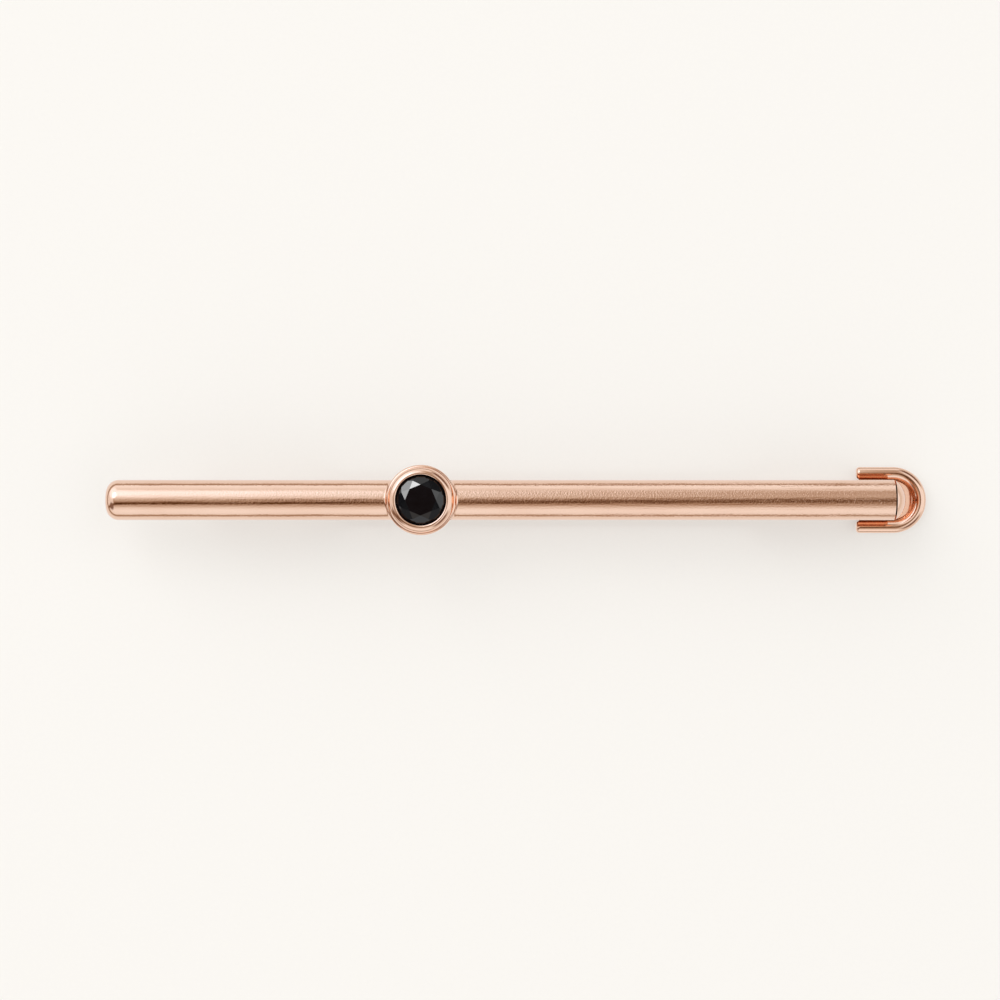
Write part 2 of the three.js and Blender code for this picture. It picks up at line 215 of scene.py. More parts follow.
clear_selection()
bpy.ops.mesh.primitive_cylinder_add(
    vertices=ROUND, radius=bar_radius, depth=nose_length,
    location=(nose_x + nose_length / 2, 0, bar_z), rotation=ALONG_X)
left_plug = start_piece("left_plug")
pick("EDGE", lambda middle, edge: middle.x < nose_x + MERGE)
bpy.ops.mesh.bevel(offset=NOSE_ROUND, segments=NOSE_STEPS)
pick("FACE", lambda middle, face: middle.x > tube_low.x - MERGE)
bpy.ops.mesh.inset(thickness=TUBE_WALL + SOLDER_GAP)
push(x=SPIGOT)
close_mesh()
hand_over(left_plug, "front_bar", "left_end_plug")

# %% [markdown]
# ## Turned outlines
# The right end and the bezel are lathe parts: one outline turned about an axis. The half outline
# is drawn by extruding a single vertex, point by point, and is then spun. Stacked cylinders would
# leave hard steps where the real piece is one flowing curve.

# %% Drawing an outline and turning it
def arc(centre, radius, start, end, steps):
    """Points of an arc as (out, up) pairs, with angles in degrees from straight out."""
    turns = [math.radians(start + (end - start) * i / steps) for i in range(steps + 1)]
    return [(centre[0] + radius * math.cos(t), centre[1] + radius * math.sin(t)) for t in turns]


def draw_chain(name, points):
    """Leaves edit mode with a chain of edges through the points, drawn from one vertex."""
    clear_selection()
    bpy.ops.mesh.primitive_plane_add(size=MM, location=points[0])
    piece = start_piece(name)
    bpy.ops.mesh.merge(type="CENTER")
    for here, there in zip(points, points[1:]):
        move = Vector(there) - Vector(here)
        bpy.ops.mesh.extrude_vertices_move(TRANSFORM_OT_translate={"value": move})
    bpy.ops.mesh.select_all(action="SELECT")
    return piece


def turn_outline(name, points, centre, axis):
    piece = draw_chain(name, points)
    bpy.ops.mesh.spin(steps=ROUND, angle=2 * math.pi, center=centre, axis=axis)
    close_mesh()
    return piece


# %% [markdown]
# ## The right end
# The right end is a low dome. The seam between the dome and the tube is a fine groove, and it
# shows as a thin dark line round the bar. Its floor slopes: a level floor would mirror the ceiling
# straight back, while a sloping one traps the light. The outline runs from the dome's tip to its
# edge, down into the groove, and along the spigot.

# %% Plug with a domed end
SEAM_DEPTH = 0.2 * MM
SEAM_SLOPE = 0.17 * MM
DOME_STEPS = 20
dome_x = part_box("right_end_plug")[1].x
dome_rise = dome_x - tube_high.x
dome_radius = (bar_radius ** 2 + dome_rise ** 2) / (2 * dome_rise)
seam_angle = math.degrees(math.acos((dome_radius - dome_rise) / dome_radius))
spigot_radius = bar_radius - TUBE_WALL - SOLDER_GAP

dome = arc((dome_x - dome_radius, bar_z), dome_radius, 0, seam_angle, DOME_STEPS)
neck = bar_z + bar_radius - SEAM_DEPTH
dome += [(tube_high.x, neck), (tube_end, neck - SEAM_SLOPE), (tube_end, bar_z + spigot_radius)]
dome += [(tube_high.x - SPIGOT, bar_z + spigot_radius), (tube_high.x - SPIGOT, bar_z)]
right_plug = turn_outline(
    "right_plug", [(x, 0, z) for x, z in dome], centre=(0, 0, bar_z), axis=(1, 0, 0))
hand_over(right_plug, "front_bar", "right_end_plug")

# %% [markdown]
# ## The bezel
# The stone sits in a turned cup: a collar at the bar's level, a fine groove, and a rim that is
# rolled over the stone's edge. The rim falls outwards from a crest close to the stone. It is one
# outline again, turned about an upright axis.

# %% The cup with its collar, groove and rolled rim
RIM_RADIUS = 2.41 * MM
CUP_INNER = 2.02 * MM
LIP_INNER = 1.88 * MM
COLLAR_ROUND = 0.16 * MM
RIM_ROUND = 0.5 * MM
CREST_DEGREES = 78
GROOVE = 0.02 * MM
COLLAR_ABOVE_BAR = 0.15 * MM
CUP_FLOOR = 0.35 * MM
LIP_UNDER = 0.13 * MM
LIP_EDGE = 0.04 * MM
LIP_ROUND = 0.15 * MM
COLLAR_STEPS = 6
RIM_STEPS = 18
LIP_STEPS = 8

rim_top = bezel_high.z
collar_top = bar_z + bar_radius + COLLAR_ABOVE_BAR
floor_z = bezel_low.z + CUP_FLOOR
hole = RIVET_RADIUS + SOLDER_GAP
cup_outline = [(hole, bezel_low.z)]
cup_outline += [(collar_radius, bezel_low.z)]
cup_outline += arc(
    (collar_radius - COLLAR_ROUND, collar_top - COLLAR_ROUND), COLLAR_ROUND, 0, 90, COLLAR_STEPS)
cup_outline += [(RIM_RADIUS, collar_top - GROOVE), (RIM_RADIUS, collar_top)]
crest = math.radians(CREST_DEGREES)
rim_side = rim_top - LIP_ROUND - (RIM_ROUND - LIP_ROUND) * math.sin(crest)
lip_out = RIM_RADIUS - RIM_ROUND + (RIM_ROUND - LIP_ROUND) * math.cos(crest)
cup_outline += arc((RIM_RADIUS - RIM_ROUND, rim_side), RIM_ROUND, 0, CREST_DEGREES, RIM_STEPS)
lip_end = math.degrees(math.acos((LIP_INNER - lip_out) / LIP_ROUND))
cup_outline += arc((lip_out, rim_top - LIP_ROUND), LIP_ROUND, CREST_DEGREES, lip_end, LIP_STEPS)[1:]
cup_outline += [(LIP_INNER, rim_top - LIP_UNDER + LIP_EDGE), (LIP_INNER, rim_top - LIP_UNDER)]
cup_outline += [(CUP_INNER, rim_top - LIP_UNDER - 2 * LIP_EDGE), (CUP_INNER, floor_z)]
cup_outline += [(hole, floor_z), (hole, bezel_low.z)]
bezel = turn_outline(
    "bezel", [(bezel_x + out, 0, up) for out, up in cup_outline],
    centre=(bezel_x, 0, 0), axis=(0, 0, 1))
print("Bezel outline points:", len(cup_outline))

# %% [markdown]
# Soldering leaves a small polished fillet where the cup meets the bar, only on the bar itself. A
# flat ring is draped over the bar's round by Shrinkwrap, its rings are lifted to a hollow curve
# against the cup, and it is extruded straight down into a body that joins the cup.

# %% A flat ring, trimmed to the bar's width
FILLET = 0.16 * MM
FILLET_OVERLAP = 0.04 * MM
FILLET_STEPS = 8
FILLET_HALF_WIDTH = 1.42 * MM

first_ring = collar_radius - FILLET_OVERLAP
ring_radii = [first_ring + FILLET * i / FILLET_STEPS for i in range(FILLET_STEPS + 2)]
clear_selection()
bpy.ops.mesh.primitive_circle_add(
    vertices=2 * ROUND, radius=ring_radii[0], location=(bezel_x, 0, bar_z + 2 * bar_radius))
fillet = start_piece("fillet")
bpy.ops.mesh.select_all(action="SELECT")
for here, there in zip(ring_radii, ring_radii[1:]):
    push()
    bpy.ops.transform.resize(value=(there / here, there / here, 1), center_override=(bezel_x, 0, 0))
for side in (-1, 1):
    bpy.ops.mesh.select_all(action="SELECT")
    bpy.ops.mesh.bisect(
        plane_co=(0, side * FILLET_HALF_WIDTH, 0), plane_no=(0, side, 0),
        clear_outer=True, threshold=MERGE)
bpy.ops.object.mode_set(mode="OBJECT")
print("Fillet rings:", len(ring_radii))

# %% The ring draped over the bar, lifted and joined to the cup
FILLET_BODY = 0.12 * MM

clear_selection()
bpy.ops.mesh.primitive_cylinder_add(
    vertices=4 * ROUND, radius=bar_radius, depth=4 * collar_radius,
    location=(bezel_x, 0, bar_z), rotation=ALONG_X)
round_form = bpy.context.object
clear_selection()
bpy.context.view_layer.objects.active = fillet
fillet.select_set(True)
drape = fillet.modifiers.new("drape", "SHRINKWRAP")
drape.target = round_form
drape.wrap_method = "PROJECT"
drape.use_project_z = True
drape.use_negative_direction = True
drape.use_positive_direction = False
bpy.ops.object.modifier_apply(modifier=drape.name)
bpy.data.objects.remove(round_form)

bpy.ops.object.mode_set(mode="EDIT")
for radius in ring_radii:
    away = min(max(radius - collar_radius, 0), FILLET)
    lift = FILLET - math.sqrt(FILLET ** 2 - (FILLET - away) ** 2)
    pick("VERT", lambda middle, vert: abs(
        math.hypot(middle.x - bezel_x, middle.y) - radius) < MERGE)
    bpy.ops.transform.translate(value=(0, 0, lift))
bpy.ops.mesh.select_mode(type="FACE")
bpy.ops.mesh.select_all(action="SELECT")
push(z=-FILLET_BODY)
close_mesh()
print("Fillet faces:", len(fillet.data.polygons))
combine(bezel, fillet, "UNION")
hand_over(bezel, "front_bar", "bezel_cup", crease=40)

# %% [markdown]
# ## The stone
# A round brilliant is ground from a round blank, one flat facet at a time. The same is done here:
# a cylinder is cut by a plane for each facet, and each cut is filled. Every facet then is truly
# flat, with crisp edges, which is what makes a cut stone flash.

# %% The corners of a round brilliant
MAIN_FACETS = 8
TABLE_SHARE = 0.57
STAR_SHARE = 0.5
LOWER_HALF_SHARE = 0.77
CROWN_SLOPE = math.tan(math.radians(34))
PAVILION_SLOPE = math.tan(math.radians(40.75))
GIRDLE = 0.1 * MM
STONE_RADIUS = 2 * MM

culet_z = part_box("stone")[0].z
girdle_z = culet_z + STONE_RADIUS * PAVILION_SLOPE
crown_z = girdle_z + GIRDLE
table_radius = STONE_RADIUS * TABLE_SHARE
half_step = math.pi / MAIN_FACETS
table_edge = table_radius * math.cos(half_step)
star_radius = table_edge + STAR_SHARE * (STONE_RADIUS - table_edge)
half_radius = STONE_RADIUS * (1 - LOWER_HALF_SHARE)
table_z = crown_z + (STONE_RADIUS - table_radius) * CROWN_SLOPE
star_z = crown_z + (STONE_RADIUS - star_radius * math.cos(half_step)) * CROWN_SLOPE
half_z = girdle_z - (STONE_RADIUS - half_radius * math.cos(half_step)) * PAVILION_SLOPE


def corner(radius, steps, z):
    """A corner of the cut, counted round the stone in half steps between main facets."""
    turn = steps * half_step
    return Vector((bezel_x + radius * math.cos(turn), radius * math.sin(turn), z))


print("Stone from culet to table, mm:", round((table_z - culet_z) / MM, 2))


# %% Grinding the facets
def grind(a, b, c):
    middle = Vector((bezel_x, 0, girdle_z))
    out = (b - a).cross(c - a).normalized()
    if out.dot(a - middle) < 0:
        out.negate()
    bpy.ops.mesh.select_all(action="SELECT")
    bpy.ops.mesh.bisect(plane_co=a, plane_no=out, use_fill=True, clear_outer=True, threshold=MERGE)


clear_selection()
bpy.ops.mesh.primitive_cylinder_add(
    vertices=ROUND, radius=STONE_RADIUS, depth=table_z - culet_z,
    location=(bezel_x, 0, (table_z + culet_z) / 2))
stone = start_piece("brilliant")
for k in range(0, 2 * MAIN_FACETS, 2):
    table, star = corner(table_radius, k, table_z), corner(star_radius, k + 1, star_z)
    grind(table, star, corner(star_radius, k - 1, star_z))
    grind(table, star, corner(table_radius, k + 2, table_z))
    low_half, culet = corner(half_radius, k + 1, half_z), corner(0, 0, culet_z)
    grind(culet, low_half, corner(half_radius, k - 1, half_z))
    for side in (k, k + 2):
        grind(star, corner(STONE_RADIUS, side, crown_z), corner(STONE_RADIUS, k + 1, crown_z))
        grind(low_half, corner(STONE_RADIUS, side, girdle_z), corner(STONE_RADIUS, k + 1, girdle_z))
close_mesh()
hand_over(stone, "front_bar", "stone", crease=2)

# %% [markdown]
# ## The hinge bracket
# Under the bar sits a small bracket: a saddle fitted to the tube and two ears that hold the pin.
# Its side is drawn as an outline, filled, extruded across and given soft edges, and then the slot
# between the ears, the saddle and the pin hole are cut. The hinge sits behind the bar, so its shape
# is a guess that follows how such clips are built.

# %% A knuckle's outline, and a plate from an outline
pin_low, pin_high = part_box("pivot_pin")
bracket_low, bracket_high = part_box("hinge_bracket")
pivot = (pin_low + pin_high) / 2
pin_radius = (pin_high.z - pin_low.z) / 2
KNUCKLE_WALL = 0.25 * MM
KNUCKLE_STEPS = 16
EDGE_SOFTNESS = 0.04 * MM
PIN_ROUND = 64
ALONG_Y = (math.pi / 2, 0, 0)
knuckle_radius = pin_radius + KNUCKLE_WALL


def knuckle(foot, z):
    """Outline from a foot of half width on height z to a round about the pin, in X and Z."""
    up = z - pivot.z
    reach = math.hypot(foot, up)
    spread = math.acos(knuckle_radius / reach) * (1 if up < 0 else -1)
    start = math.degrees(math.atan2(up, foot) + spread)
    end = 180 - start
    if up > 0:
        end -= 360 if end > start else 0
    else:
        end += 360 if end < start else 0
    round_end = arc((pivot.x, pivot.z), knuckle_radius, start, end, KNUCKLE_STEPS)
    return [(pivot.x + foot, z), *round_end, (pivot.x - foot, z)]


def plate(name, outline, y_low, y_high):
    piece = draw_chain(name, [(x, y_low, z) for x, z in outline])
    bpy.ops.mesh.remove_doubles(threshold=MERGE)
    bpy.ops.mesh.edge_face_add()
    push(y=y_high - y_low)
    pick("EDGE", lambda middle, edge: abs(edge.verts[0].co.y - edge.verts[1].co.y) < MERGE)
    bpy.ops.mesh.bevel(offset=EDGE_SOFTNESS, segments=3)
    close_mesh()
    return piece


def pin_drill(play):
    clear_selection()
    bpy.ops.mesh.primitive_cylinder_add(
        vertices=PIN_ROUND, radius=pin_radius + play, depth=4 * bar_radius, location=pivot,
        rotation=ALONG_Y)
    return bpy.context.object


# %% Saddle and ears
SADDLE = 0.3 * MM
EAR_FOOT = 1.4 * MM
EAR_THICKNESS = 0.25 * MM
PIN_PLAY = 0.03 * MM

saddle_z = bar_z - bar_radius - SOLDER_GAP - SADDLE
side = [(bracket_high.x, bar_z), (bracket_high.x, saddle_z)]
side += knuckle(EAR_FOOT, saddle_z)
side += [(bracket_low.x, saddle_z), (bracket_low.x, bar_z), (bracket_high.x, bar_z)]
bracket = plate("bracket", side, bracket_low.y, bracket_high.y)

ear_gap = bracket_high.y - bracket_low.y - 2 * EAR_THICKNESS
clear_selection()
bpy.ops.mesh.primitive_cube_add(size=1, location=(pivot.x, 0, saddle_z / 2))
bpy.ops.transform.resize(value=(6 * bar_radius, ear_gap, saddle_z))
combine(bracket, bpy.context.object, "DIFFERENCE")
clear_selection()
bpy.ops.mesh.primitive_cylinder_add(
    vertices=ROUND, radius=bar_radius + SOLDER_GAP, depth=10 * bar_radius,
    location=(pivot.x, 0, bar_z), rotation=ALONG_X)
combine(bracket, bpy.context.object, "DIFFERENCE")
combine(bracket, pin_drill(PIN_PLAY), "DIFFERENCE")
hand_over(bracket, "front_bar", "hinge_bracket")

# %% [markdown]
# ## The pin
# A short steel pin goes through the ears and is riveted flush in the arm's cheeks. A cylinder with
# both end edges bevelled gives the slight dome that riveting leaves.

# %% Pin with softened ends
PIN_SOFTENING = 0.1 * MM

clear_selection()
bpy.ops.mesh.primitive_cylinder_add(
    vertices=PIN_ROUND, radius=pin_radius, depth=pin_high.y - pin_low.y, location=pivot,
    rotation=ALONG_Y)
pin = start_piece("pin")
pick("EDGE", lambda middle, edge: abs(edge.verts[0].co.y - edge.verts[1].co.y) < MERGE)
bpy.ops.mesh.bevel(offset=PIN_SOFTENING, segments=4)
close_mesh()
hand_over(pin, "clip", "pivot_pin")

# %% [markdown]
# ## The spring
# A torsion spring is wire wound round the pin, with one leg under the saddle and one on the arm.
# A ring of wire is swept by the Screw modifier for two and a half turns, and its open ends are
# extruded into the legs. A curve could follow the coil as well, but its legs would then need bends
# of their own. When the clip opens, one leg stays with the bar and the other goes with the arm.

# %% Coil and legs
SPRING_WIRE = 0.28 * MM
SPRING_ROUND = 16
COIL_RADIUS = 0.71 * MM
COIL_TURNS = 2.5
COIL_STEPS = 100
SPRING_LEG = 3.2 * MM

spring_low, spring_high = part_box("torsion_spring")
coil_half = (spring_high.y - spring_low.y) / 2 - SPRING_WIRE / 2
clear_selection()
bpy.ops.mesh.primitive_circle_add(
    vertices=SPRING_ROUND, radius=SPRING_WIRE / 2,
    location=(0, -coil_half, COIL_RADIUS), rotation=ALONG_X)
spring = start_piece("spring")
bpy.ops.object.mode_set(mode="OBJECT")
winding = spring.modifiers.new("winding", "SCREW")
winding.axis = "Y"
winding.angle = -COIL_TURNS * 2 * math.pi
winding.screw_offset = 2 * coil_half
winding.steps = COIL_STEPS
winding.render_steps = COIL_STEPS
bpy.ops.object.modifier_apply(modifier=winding.name)
spring.location = pivot
bpy.ops.object.transform_apply(location=True)
bpy.ops.object.mode_set(mode="EDIT")
for end in (-1, 1):
    tip = pivot + Vector((0, end * coil_half, -end * COIL_RADIUS))
    pick("EDGE", lambda middle, edge: edge.is_boundary and (middle - tip).length < SPRING_WIRE)
    push(x=SPRING_LEG)
    bpy.ops.mesh.edge_face_add()
close_mesh()
hand_over(spring, None, "torsion_spring", crease=50)
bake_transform(spring)

# %% [markdown]
# ## The clip arm
# The arm is a strip of sheet: a rounded tip, a toothed jaw, a bend down to the flat back, and a
# round tail, filed thinner at its end. A rounded slice of the strip is drawn at the tip and
# extruded from station to station, each time lifted, widened and thinned to follow the arm. That
# keeps its edges softly rounded all along, where a boxy strip would need them bevelled afterwards.

# %% Where the arm goes
ARM_THICKNESS = 0.5 * MM
JAW_LENGTH = 4 * MM
RAMP_LENGTH = 6 * MM
LIP_LENGTH = 1.5 * MM
LIP_DROP = 0.5 * MM
TOOTH_HEIGHT = 0.25 * MM
JAW_GAP = 0.05 * MM
TIP_ROUND = 1.1 * MM
TEETH = 7
ARM_EDGE = 0.1 * MM
TAPER_LENGTH = 1.4 * MM
TAPER_DROP = 0.15 * MM

arm_low, arm_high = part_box("clip_arm")
arm_half = (arm_high.y - arm_low.y) / 2
tip_x = arm_low.x
jaw_x = tip_x + LIP_LENGTH
ramp_x = jaw_x + JAW_LENGTH
flat_x = ramp_x + RAMP_LENGTH
tail_x = arm_high.x - arm_half
jaw_rise = bar_z - bar_radius - JAW_GAP - TOOTH_HEIGHT - ARM_THICKNESS


def arm_rise(x):
    """Height of the arm's back over the ground."""
    if x < jaw_x:
        return jaw_rise - LIP_DROP * ((jaw_x - x) / LIP_LENGTH) ** 2
    share = min(max((x - ramp_x) / RAMP_LENGTH, 0), 1)
    return jaw_rise * (1 - share * share * (3 - 2 * share))


def arm_width(x):
    """Half width of the arm: quarter rounds at the tip and half a circle at the tail."""
    if x < tip_x + TIP_ROUND:
        back = tip_x + TIP_ROUND - x
        return arm_half - TIP_ROUND + math.sqrt(max(TIP_ROUND ** 2 - back ** 2, 0))
    if x > tail_x:
        return math.sqrt(max(arm_half ** 2 - (x - tail_x) ** 2, 0))
    return arm_half


def arm_depth(x):
    """Thickness of the arm: it is filed thinner towards the end of the tail."""
    share = max((x - arm_high.x) / TAPER_LENGTH + 1, 0)
    return ARM_THICKNESS - TAPER_DROP * share


print("Arm's back at the jaw, mm:", round(jaw_rise / MM, 2))


# %% The strip, station by station
TIP_STEPS = 8
RAMP_STEPS = 16
TAIL_STEPS = 12
TAIL_STOP = 3

tip_turns = [math.radians(90 * i / TIP_STEPS) for i in range(TIP_STEPS + 1)]
tail_turns = [math.radians(90 * i / TAIL_STEPS) for i in range(TAIL_STEPS)]
stations = [tip_x + TIP_ROUND * (1 - math.cos(turn)) for turn in tip_turns]
stations += [jaw_x + JAW_LENGTH * i / (2 * TEETH) for i in range(2 * TEETH + 1)]
stations += [ramp_x + RAMP_LENGTH * i / RAMP_STEPS for i in range(1, RAMP_STEPS + 1)]
stations += [tail_x + arm_half * math.sin(turn) for turn in tail_turns]
stations += [tail_x + arm_half * math.cos(math.radians(TAIL_STOP))]

clear_selection()
bpy.ops.mesh.primitive_plane_add(
    size=1, location=(tip_x, 0, arm_rise(tip_x) + ARM_THICKNESS / 2), rotation=ALONG_X)
bpy.ops.transform.resize(value=(1, 2 * arm_half, ARM_THICKNESS))
arm = start_piece("arm")
bpy.ops.mesh.bevel(offset=ARM_EDGE, segments=4, affect="VERTICES")
bpy.ops.mesh.delete(type="ONLY_FACE")
bpy.ops.mesh.select_all(action="SELECT")
bpy.ops.transform.resize(value=(1, arm_width(tip_x) / arm_half, 1))
for here, there in zip(stations, stations[1:]):
    push(x=there - here, z=arm_rise(there) - arm_rise(here))
    bpy.ops.transform.resize(
        value=(1, arm_width(there) / arm_width(here), arm_depth(there) / arm_depth(here)),
        center_override=(there, 0, arm_rise(there)))
for end in (stations[0], stations[-1]):
    pick("EDGE", lambda middle, edge: edge.is_boundary and abs(middle.x - end) < MERGE)
    bpy.ops.mesh.edge_face_add()
print("Arm stations:", len(stations))

# %% [markdown]
# The jaw's teeth are crosswise ridges that keep the clip on the tie. Every second station of the
# jaw has its upper corners lifted, which raises a row of ridges without adding a face.

# %% Teeth on the jaw
def on_ridge(middle, corner_of_strip):
    steps = (middle.x - jaw_x) / (JAW_LENGTH / (2 * TEETH))
    on_top = middle.z > arm_rise(middle.x) + ARM_THICKNESS / 2
    return on_top and 0 < steps < 2 * TEETH and round(steps) % 2 == 1


teeth_corners = pick("VERT", on_ridge)
bpy.ops.transform.translate(value=(0, 0, TOOTH_HEIGHT))
close_mesh()
print("Corners lifted for the teeth:", teeth_corners)

# %% [markdown]
# At the hinge a cheek is folded up on each side of the arm and holds the pin, and from there a low
# rail runs along the tail and stiffens it. Cheek and rail are plates from their side outlines,
# joined to the strip, and the pin's hole is drilled through both cheeks in one go.

# %% Cheeks, rails and pin hole
CHEEK_FOOT = 2 * MM
CHEEK_THICKNESS = 0.3 * MM
RAIL_HEIGHT = 1.2 * MM
RAIL_SETBACK = 0.4 * MM

root_z = ARM_THICKNESS / 2
cheek_outline = [(pivot.x - CHEEK_FOOT, root_z), (pivot.x + CHEEK_FOOT, root_z)]
cheek_outline += knuckle(CHEEK_FOOT, ARM_THICKNESS)
cheek_outline += [(pivot.x - CHEEK_FOOT, root_z)]
rail_x = tail_x - RAIL_SETBACK
rail_outline = [(pivot.x, root_z), (rail_x, root_z)]
rail_outline += [(rail_x, RAIL_HEIGHT), (pivot.x, RAIL_HEIGHT), (pivot.x, root_z)]
for y_low in (-arm_half, arm_half - CHEEK_THICKNESS):
    for outline in (cheek_outline, rail_outline):
        combine(arm, plate("arm_side", outline, y_low, y_low + CHEEK_THICKNESS), "UNION")
combine(arm, pin_drill(SOLDER_GAP), "DIFFERENCE")
hand_over(arm, "clip", "clip_arm")

# %% [markdown]
# ## The thumb loop
# The loop is one piece of round wire bent to a U and soldered round the arm's tail. A ring is
# extruded along one leg, spun half a turn about the middle of the bend, and extruded back along the
# other leg. The cut ends are closed and rounded over, as a file and buff would leave them.

# %% Leg, bend, leg
BEND_STEPS = 64


def bend_round_tail(leg):
    """Sweeps the selected ring along a leg, round the tail and back, and closes both ends."""
    push(x=leg)
    bpy.ops.mesh.spin(steps=BEND_STEPS, angle=math.pi, center=(tail_x, 0, 0), axis=(0, 0, -1))
    push(x=-leg)
    for side in (-1, 1):
        pick("EDGE", lambda middle, edge: edge.is_boundary and middle.y * side > 0)
        bpy.ops.mesh.edge_face_add()


WIRE = 0.92 * MM
WIRE_ROUND = 40
WIRE_END_ROUND = 0.26 * MM

loop_low, loop_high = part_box("thumb_loop")
bend_radius = loop_high.y - WIRE / 2
clear_selection()
bpy.ops.mesh.primitive_circle_add(
    vertices=WIRE_ROUND, radius=WIRE / 2,
    location=(loop_low.x, -bend_radius, WIRE / 2), rotation=ALONG_X)
loop = start_piece("loop")
bpy.ops.mesh.select_all(action="SELECT")
bend_round_tail(tail_x - loop_low.x)
pick("EDGE", lambda middle, edge: all(abs(c.co.x - loop_low.x) < MERGE for c in edge.verts))
bpy.ops.mesh.bevel(offset=WIRE_END_ROUND, segments=8)
close_mesh()

# %% [markdown]
# Solder closes the foot of the seam between the wire and the arm. Light bounces several times in
# the narrow groove above it and comes out deep orange. The solder's section is drawn as a chain and
# swept along the same path, then joined to the wire.

# %% The solder along the seam
SOLDER_FOOT = 0.04 * MM
SOLDER_TOP = 0.12 * MM

solder_x = loop_low.x + WIRE_END_ROUND
inside = arm_half - CHEEK_THICKNESS / 2
outside = bend_radius - WIRE / 4
section = [(inside, SOLDER_FOOT), (outside, SOLDER_FOOT)]
section += [(outside, SOLDER_TOP), (inside, SOLDER_TOP)]
solder = draw_chain("solder", [(solder_x, -out, up) for out, up in [*section, section[0]]])
bpy.ops.mesh.remove_doubles(threshold=MERGE)
bend_round_tail(tail_x - solder_x)
close_mesh()
combine(loop, solder, "UNION")
hand_over(loop, "clip", "thumb_loop")

# %% [markdown]
# ## Finishes
# One function turns an sRGB hex value into the linear colour that a shader works in, and one adds a
# node with its settings and links. Every pattern's scale comes from a real size: a noise scale of
# one over 0.1 mm gives grains about 0.1 mm across.

# %% Colours and nodes
def to_linear(hex_colour):
    shares = [int(hex_colour[i:i + 2], 16) / 255 for i in (1, 3, 5)]
    linear = [s / 12.92 if s <= 0.04045 else ((s + 0.055) / 1.055) ** 2.4 for s in shares]
    return (*linear, 1)


def add(tree, kind, inputs=None, stops=(), **settings):
    """Adds a node. Stops are a colour ramp's places, each with a hex colour or a grey level."""
    node = tree.nodes.new(kind)
    for name, value in settings.items():
        setattr(node, name, value)
    for i, (place, colour) in enumerate(stops):
        elements = node.color_ramp.elements
        stop = elements[i] if i < len(elements) else elements.new(1)
        stop.position = place
        stop.color = to_linear(colour) if isinstance(colour, str) else (colour, colour, colour, 1)
    for name, value in (inputs or {}).items():
        if isinstance(value, bpy.types.NodeSocket):
            tree.links.new(value, node.inputs[name])
        else:
            node.inputs[name].default_value = value
    return node


def new_material(name):
    material = bpy.data.materials.new(name)
    material.use_nodes = True
    material.node_tree.nodes.clear()
    return material, material.node_tree


# %% [markdown]
# ## Rose gold
# Rose gold is gold alloyed with copper. It is a mirror with a pink-orange tint, so nearly all of
# its look is what it reflects. The bar was drawn and then buffed by hand, which leaves hairlines
# along its length and a very fine grain that gets deeper towards the right end. The plugs, bezel
# and loop were polished further. The arm and the bracket behind the bar only came out of the
# tumbler, so they are satin and a shade duller. The three share one recipe with other tints,
# pattern sizes, roughness and relief.

# %% One recipe for rose gold
TARNISH_PATCH = 4 * MM
PATTERN_SPREAD = (0.7, 1.3)


def rose_gold(name, tints, hairline_mm, grain_mm, roughness, relief_mm):
    """Hairlines run along X: their size is (length, width). Roughness goes from low to high, and
    the relief from the left end to the right."""
    material, tree = new_material(name)
    place = add(tree, "ShaderNodeTexCoord").outputs["Object"]
    length, width = hairline_mm
    across = 1 / (width * MM)
    stretched = add(tree, "ShaderNodeMapping", {
        "Vector": place, "Scale": (1 / (length * MM), across, across)}).outputs[0]
    hairlines = add(tree, "ShaderNodeTexNoise", {
        "Vector": stretched, "Scale": 1, "Detail": 3}).outputs["Fac"]
    grain = add(tree, "ShaderNodeTexNoise", {
        "Vector": place, "Scale": 1 / (grain_mm * MM), "Detail": 2}).outputs["Fac"]
    tarnish = add(tree, "ShaderNodeTexNoise", {
        "Vector": place, "Scale": 1 / TARNISH_PATCH, "Detail": 2}).outputs["Fac"]
    tint = add(tree, "ShaderNodeValToRGB", {"Fac": tarnish}, stops=[
        (0.3, tints[0]), (0.7, tints[1])]).outputs[0]
    mixed = add(tree, "ShaderNodeMath", {0: hairlines, 1: grain}, operation="ADD").outputs[0]
    wear = add(tree, "ShaderNodeMapRange", {
        "Value": mixed, "From Min": PATTERN_SPREAD[0], "From Max": PATTERN_SPREAD[1],
        "To Min": roughness[0], "To Max": roughness[1]}).outputs[0]
    lengthwise = add(tree, "ShaderNodeSeparateXYZ", {0: place}).outputs["X"]
    depth = add(tree, "ShaderNodeMapRange", {
        "Value": lengthwise, "From Min": tube_low.x, "From Max": tube_high.x,
        "To Min": relief_mm[0] * MM, "To Max": relief_mm[1] * MM}).outputs[0]
    relief = add(tree, "ShaderNodeBump", {
        "Height": mixed, "Strength": 1, "Distance": depth}).outputs[0]
    metal = add(tree, "ShaderNodeBsdfPrincipled", {
        "Base Color": tint, "Metallic": 1, "Roughness": wear, "Normal": relief})
    add(tree, "ShaderNodeOutputMaterial", {"Surface": metal.outputs[0]})
    return material


# %% Rose gold in three finishes
BRIGHT = ("#F0CCB6", "#F4D2BD")
DULL = ("#E6B89C", "#EBC0A6")

